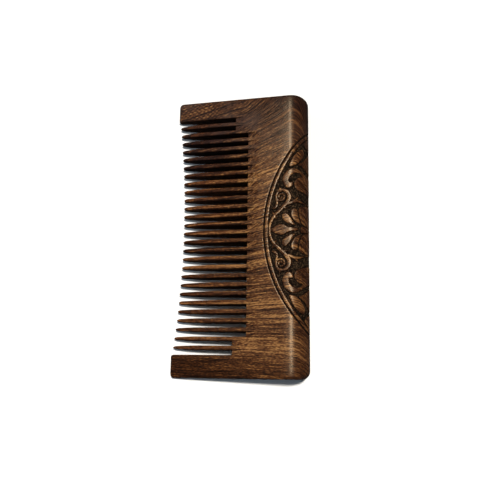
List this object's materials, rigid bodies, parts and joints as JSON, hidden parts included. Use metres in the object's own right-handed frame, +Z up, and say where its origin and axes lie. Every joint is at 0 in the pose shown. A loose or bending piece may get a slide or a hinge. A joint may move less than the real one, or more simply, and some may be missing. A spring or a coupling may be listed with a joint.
{
  "type": "wide tooth comb",
  "caption": "Handleless hardwood comb with a thick rounded back, saw-cut wide teeth between solid end guards, and a carved half-medallion of scrolls and leaves on each face.",
  "frame": {"origin": "centre of the outline, on the surface that the comb rests on", "axes": "+X from the tooth tips to the rounded back, +Y along the back towards the upper guard, +Z up out of the face shown, with the lower flat face lying at z = 0"},
  "size_m": [0.0502, 0.106, 0.0131],
  "materials": {
    "wood": "satin, oiled and polished dark hardwood with golden streaks"
  },
  "bodies": {
    "root": {"back": "wood", "upper_shoulder": "wood", "lower_shoulder": "wood", "upper_guard": "wood", "lower_guard": "wood", "tooth_01": "wood", "tooth_02": "wood", "tooth_03": "wood", "tooth_04": "wood", "tooth_05": "wood", "tooth_06": "wood", "tooth_07": "wood", "tooth_08": "wood", "tooth_09": "wood", "tooth_10": "wood", "tooth_11": "wood", "tooth_12": "wood", "tooth_13": "wood", "tooth_14": "wood", "tooth_15": "wood", "tooth_16": "wood", "tooth_17": "wood", "tooth_18": "wood", "tooth_19": "wood", "tooth_20": "wood", "tooth_21": "wood", "tooth_22": "wood", "tooth_23": "wood", "tooth_24": "wood", "tooth_25": "wood", "tooth_26": "wood", "tooth_27": "wood"}
  },
  "joints": []
}
